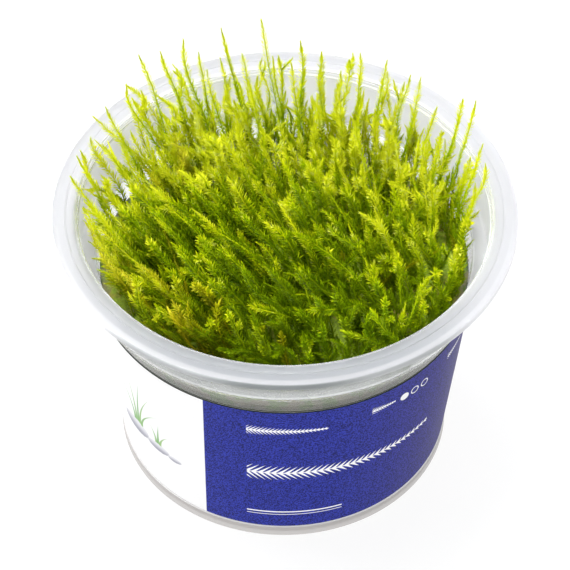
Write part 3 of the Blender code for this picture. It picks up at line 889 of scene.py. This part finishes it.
# The lying shoots: those that stand out singly near the front, each through a tip, a middle and a foot.
# Of each, x, y, and z above the rim, in millimetres
LYING_SHOOTS = (
    (-4, -10, 6, 1, -12, 2, 3, -13, -5), (-17, -10, 5, -9, -12, 1, -2, -15, -6),
    (-22, 5, 6, -16, 4, 2, -13, 5, -4), (-12, 2, 7, -9, 0, 3, -7, 1, -3),
    (-7, -29, 1, -4, -29, -1, 2, -27, -5), (-1, -4, 6, 2, -2, 2, 5, -2, -5),
    (2, -12, 5, 11, -16, 1, 20, -24, -6), (16, -7, 6, 21, -9, 2, 23, -10, -5),
    (5, 5, 9, 7, 3, 3, 10, 0, -5), (17, -22, 3, 19, -22, 0, 21, -21, -5),
    (29, 7, 7, 30, 5, 1, 31, 0, -7), (-27, -24, 3, -25, -25, 0, -21, -24, -5),
    (-23, -25, 2, -21, -27, 0, -18, -28, -4), (-13, -29, 3, -14, -32, 1, -13, -34, -3),
    (-24, -30, 1, -21, -34, 0, -17, -34, -3), (-28, 0, 6, -23, -1, 2, -18, 0, -5),
    (31, -21, 2, 28, -25, 0, 26, -28, -4), (5, -31, 2, 10, -29, 0, 16, -23, -5),
    (18, -31, 2, 20, -34, 1, 23, -36, -2), (11, 11, 10, 11, 12, 3, 12, 10, -6),
    (21, 16, 12, 22, 17, 4, 23, 15, -6), (-15, 10, 12, -14, 11, 4, -13, 10, -6),
    (-25, -3, 4, -21, -4, 0, -16, -6, -6), (12, -36, 1, 15, -37, 1, 19, -36, -2),
)
LYING_SWAY = 0.5 * MM
lying = []
for shoot in LYING_SHOOTS:
    tip, middle, foot = np.array(shoot).reshape(3, 3) * MM + (0, 0, RIM_HEIGHT)
    root = rooted(foot, 0.25 * (middle - foot)[:2] / (middle - foot)[2])
    lying.append(threaded(np.array([root, foot, middle, tip]), chance.normal(0, LYING_SWAY)))

# The straying shoots: they set out low and cross the others in every direction, most of them leftwards
STRAY_COUNT = 60
STRAY_RADIUS = 30.0 * MM
STRAY_CENTRE = (0, -4.0 * MM)
STRAY_BASE = RIM_HEIGHT - 13.5 * MM
STRAY_BEARING = math.radians(150)
bearing = chance.uniform(0, math.tau, STRAY_COUNT)
stray_feet = np.sqrt(chance.random(STRAY_COUNT))[:, None] * STRAY_RADIUS * np.stack(
    [np.cos(bearing), np.sin(bearing)], axis=1) + STRAY_CENTRE
stray_feet = np.concatenate([stray_feet, np.full((STRAY_COUNT, 1), STRAY_BASE)], axis=1)
bearing = chance.normal(STRAY_BEARING, 1.1, STRAY_COUNT)
stray_ways = np.stack([np.cos(bearing), np.sin(bearing), chance.uniform(0.7, 1.5, STRAY_COUNT)], axis=1)
stray_bow = np.stack([*chance.normal(0, 0.35, (2, STRAY_COUNT)), chance.normal(-0.2, 0.5, STRAY_COUNT)],
                     axis=1)
strays = grown_stems(stray_feet, unit(stray_ways), stray_bow, stray_bow,
                     chance.uniform(13, 20, STRAY_COUNT) * MM)
standing_out = np.concatenate([np.zeros(len(bold)), np.ones(len(lying)), np.full(STRAY_COUNT, 0.7)])
bold = np.concatenate([bold, lying, strays])

# The low shoots between them: roots on a jittered triangular grid over the disc, with room left round
# the bold ones, a free strip at the left, and a few gaps at the back
SHOOT_SPACING = 2.2 * MM
ROW_PITCH = 0.866
ROOT_JITTER = 0.42
FREE_STRIP = 5.0 * MM
BOLD_ROOM = 1.3 * MM
THINNED_SHARE = 0.18
row_count = int(2 * ROOT_RADIUS / (SHOOT_SPACING * ROW_PITCH)) + 2
lines = range(-row_count // 2, row_count // 2 + 1)
grid = np.array([((column + 0.5 * (row % 2)) * SHOOT_SPACING, row * SHOOT_SPACING * ROW_PITCH)
                 for row in lines for column in lines])
grid += chance.uniform(-ROOT_JITTER, ROOT_JITTER, grid.shape) * SHOOT_SPACING
leftness = smooth_rise(-grid[:, 0] / np.maximum(np.linalg.norm(grid, axis=1), MM), 0.3, 1.0)
low_roots = grid[np.linalg.norm(grid, axis=1) < ROOT_RADIUS - FREE_STRIP * leftness]
crowded = np.linalg.norm(low_roots[:, None] - bold[None, :, 0, :2], axis=2).min(axis=1) < BOLD_ROOM
thinned = chance.random(len(low_roots)) < THINNED_SHARE * smooth_rise(low_roots[:, 1], 8 * MM, 30 * MM)
low_roots = low_roots[~crowded & ~thinned]
low_count = len(low_roots)

# How high they reach: into the gaps of the solid in front, and as high as the bold ones behind
GAP_AT_MIDDLE = -6.4 * MM
GAP_SLOPE = -0.12
LOW_RISE = 1.3
RISEN_SHARE = 0.72
RISEN_LOW = 5.0
RISEN_HIGH = 15.0
BEHIND_RISE = 3.8 * MM
low_front = smooth_rise(-low_roots[:, 1], -18 * MM, 16 * MM)
low_tips = (GAP_AT_MIDDLE + GAP_SLOPE * low_roots[:, 1]
            + chance.normal(LOW_RISE, 1.6, low_count) * MM)
low_behind = smooth_rise(low_roots[:, 1], 4 * MM, 24 * MM)
central = 1 - smooth_rise(np.abs(low_roots[:, 0] - 1 * MM), 6 * MM, 15 * MM)
risen = chance.random(low_count) < RISEN_SHARE * low_behind * (1 - 0.65 * central)
to_the_left = smooth_rise(-low_roots[:, 0], -4 * MM, 14 * MM)
risen_tips = chance.uniform(RISEN_LOW, RISEN_HIGH, low_count) * MM * (0.64 + 0.34 * to_the_left)
low_tips += np.where(risen, risen_tips, BEHIND_RISE * low_behind)
low_rise = RIM_HEIGHT + low_tips - SHOOT_BASE

# How they lean: as the bold ones do, in clumps, and no further out than the reach of the solid
CLUMP_LEAN = 0.80
REACH_BEHIND = 45.5 * MM
REACH_ASIDE = 39.5 * MM
low_clump = clumps(low_roots, 0.0)
low_lean = lean_of(low_roots) + chance.normal(0, 0.22, (low_count, 2)) * (1 + 1.2 * low_front)[:, None]
low_lean[:, 0] += 0.30 * (1 - np.linalg.norm(low_roots, axis=1) / ROOT_RADIUS) * (1 - 0.5 * low_front)
low_lean += low_clump[:, :2] * CLUMP_LEAN * (0.45 + 0.55 * (1 - low_behind))[:, None]
low_reach = np.linalg.norm(low_roots + low_lean * low_rise[:, None], axis=1)
low_limit = REACH_ASIDE + (REACH_BEHIND - REACH_ASIDE) * smooth_rise(low_roots[:, 1], 0, 26 * MM)
low_lean -= (low_roots / np.linalg.norm(low_roots, axis=1)[:, None]
             * (np.maximum(low_reach - low_limit, 0) / low_rise)[:, None])
low_ways = unit(np.concatenate([low_lean, np.ones((low_count, 1))], axis=1))
low_feet = np.concatenate([low_roots, np.full((low_count, 1), SHOOT_BASE)], axis=1)
low_curl = np.stack([chance.normal(-0.4, 0.5, low_count), chance.normal(0.1, 0.4, low_count),
                     chance.uniform(-0.5, 0.1, low_count)], axis=1) * (0.3 + 0.7 * low_front)[:, None]
low_bow = np.concatenate([low_lean * 0.25, np.zeros((low_count, 1))], axis=1)
low = grown_stems(low_feet, low_ways, low_bow, low_curl, low_rise / low_ways[:, 2])

# Where each shoot stands, and how bright, aged, slim and spread it is for that
stems = np.concatenate([bold, low])
roots = stems[:, 0, :2]
count = len(roots)
is_bold = np.concatenate([np.ones(len(bold), bool), risen])
front = smooth_rise(-roots[:, 1], -18 * MM, 16 * MM)
sunlit = smooth_rise(roots[:, 1], -18 * MM, 30 * MM) ** 2
outer = smooth_rise(np.abs(roots[:, 0]), 15 * MM, 36 * MM) * (1 - sunlit)
lower_left = smooth_rise(-(roots[:, 0] + roots[:, 1]), 36 * MM, 50 * MM)
leftwards = smooth_rise(-roots[:, 0], 10 * MM, 36 * MM) * (1 - sunlit)
lower_right = smooth_rise(roots[:, 0] - roots[:, 1], 28 * MM, 46 * MM)
tone_and_light = np.where(is_bold, chance.normal(1.14, 0.12, count), chance.normal(0.62, 0.14, count))
tone_and_light *= 1 + 0.35 * clumps(roots, 5.0)[:, 2]
tone_and_light[:len(bold)] += 0.35 * standing_out
# Painted light and shade by place: shoots behind, at the sides and to the left are painted brighter, those
# in front and at the lower right darker
tone_and_light *= (0.82 + 0.92 * sunlit + 0.56 * outer + 0.40 * leftwards - 0.10 * front * (1 - outer)
           - 0.42 * lower_right)
# Behind and at the sides, where painted light falls, the bright part of a shoot reaches further down
glow = (7.0 + 22.0 * sunlit + 8.0 * outer) * MM
age = np.clip(chance.normal(0.02, 0.06, count) + 0.95 * lower_left * chance.random(count), 0, 1)
age[chance.random(count) < 0.015] = 0.7
slim = np.clip(chance.normal(1.9, 0.5, count) + 0.9 * sunlit, 0.9, 4.0) * MM
spread = np.clip(chance.normal(np.where(is_bold, 27, 19), 4, count) + 3 * front, 12, 40)
leaf_length = np.clip(chance.normal(1.0, 0.12, count), 0.7, 1.3) * LEAF_LENGTH
leaf_length *= np.where(is_bold, 1.12, 0.95)
leaf_length[:len(bold)] *= 1 + 0.12 * standing_out

# Side twigs: short shoots that leave some of the others a little below their tips
TWIG_COUNT = 330
MOSS_PIECES = 6
parent = chance.choice(count, TWIG_COUNT, replace=False)
fork = chance.integers(STEM_POINTS - 6, STEM_POINTS - 2, TWIG_COUNT)
fork_way = unit(stems[parent, fork + 1] - stems[parent, fork])
aside = unit(np.cross(fork_way, chance.normal(size=(TWIG_COUNT, 3))))
twig_lean = np.array([-0.15, 0.10, 0.45]) + chance.normal(0, 0.2, (TWIG_COUNT, 3))
twigs = grown_stems(stems[parent, fork], unit(fork_way + aside * chance.uniform(0.5, 1.0, (TWIG_COUNT, 1))),
                    twig_lean, 0.3 * twig_lean, chance.uniform(3.0, 6.5, TWIG_COUNT) * MM)
shoots = {
    "stems": np.concatenate([stems, twigs]),
    "slim": np.concatenate([slim, chance.uniform(1.0, 2.2, TWIG_COUNT) * MM]),
    "spread": np.concatenate([spread, spread[parent]]),
    "leaf_length": np.concatenate([leaf_length, leaf_length[parent] * 0.85]),
    "tone_and_light": np.concatenate([tone_and_light, tone_and_light[parent] * 1.08]),
    "glow": np.concatenate([glow, glow[parent]]),
    "age": np.concatenate([age, age[parent]]),
}
roots = np.concatenate([roots, roots[parent]])
bearing_order = np.argsort(np.arctan2(roots[:, 1], roots[:, 0]))
for number, chosen in enumerate(np.array_split(bearing_order, MOSS_PIECES), 1):
    grown = leafy_moss(**{trait: values[chosen] for trait, values in shoots.items()})
    moss_piece(f"moss_shoots_{number}", ["moss_cushion"], *grown)

# The leading shoots: the longest ones, which stand out singly above the rest. Each rises from the old
# moss to the tip of its solid, slim and smooth at the top and leafy below.
LEADER_NAMES = sorted(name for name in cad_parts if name.startswith("leading_shoot_"))
LEADER_SWAY = 1.1 * MM


def leader_stem(node):
    """A smooth line from the old moss up the middle of a leading shoot's solid to its tip."""
    places = np.array([vert.co for vert in node.data.vertices])
    heights = places[:, 2]
    low, high = heights.min(), heights.max()
    foot = places[heights < low + 0.2 * MM].mean(axis=0)
    middle = places[np.abs(heights - (low + high) / 2) < 0.12 * (high - low)].mean(axis=0)
    tip = places[heights.argmax()]
    lean = (middle[:2] - foot[:2]) / (middle[2] - foot[2])
    return threaded(np.array([rooted(foot, lean), foot, middle, tip]), LEADER_SWAY)


for name in LEADER_NAMES:
    grown = leafy_moss(
        stems=leader_stem(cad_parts[name])[None], slim=chance.uniform(1.4, 4.2, 1) * MM,
        spread=chance.uniform(22, 30, 1), leaf_length=chance.uniform(0.90, 1.05, 1) * LEAF_LENGTH,
        tone_and_light=chance.uniform(1.20, 1.40, 1), glow=np.array([22 * MM]), age=chance.uniform(0, 0.06, 1))
    grown[0][:, 2] = np.minimum(grown[0][:, 2], cad_box[1].z)
    moss_piece(name.replace("leading", "long"), [name], *grown)
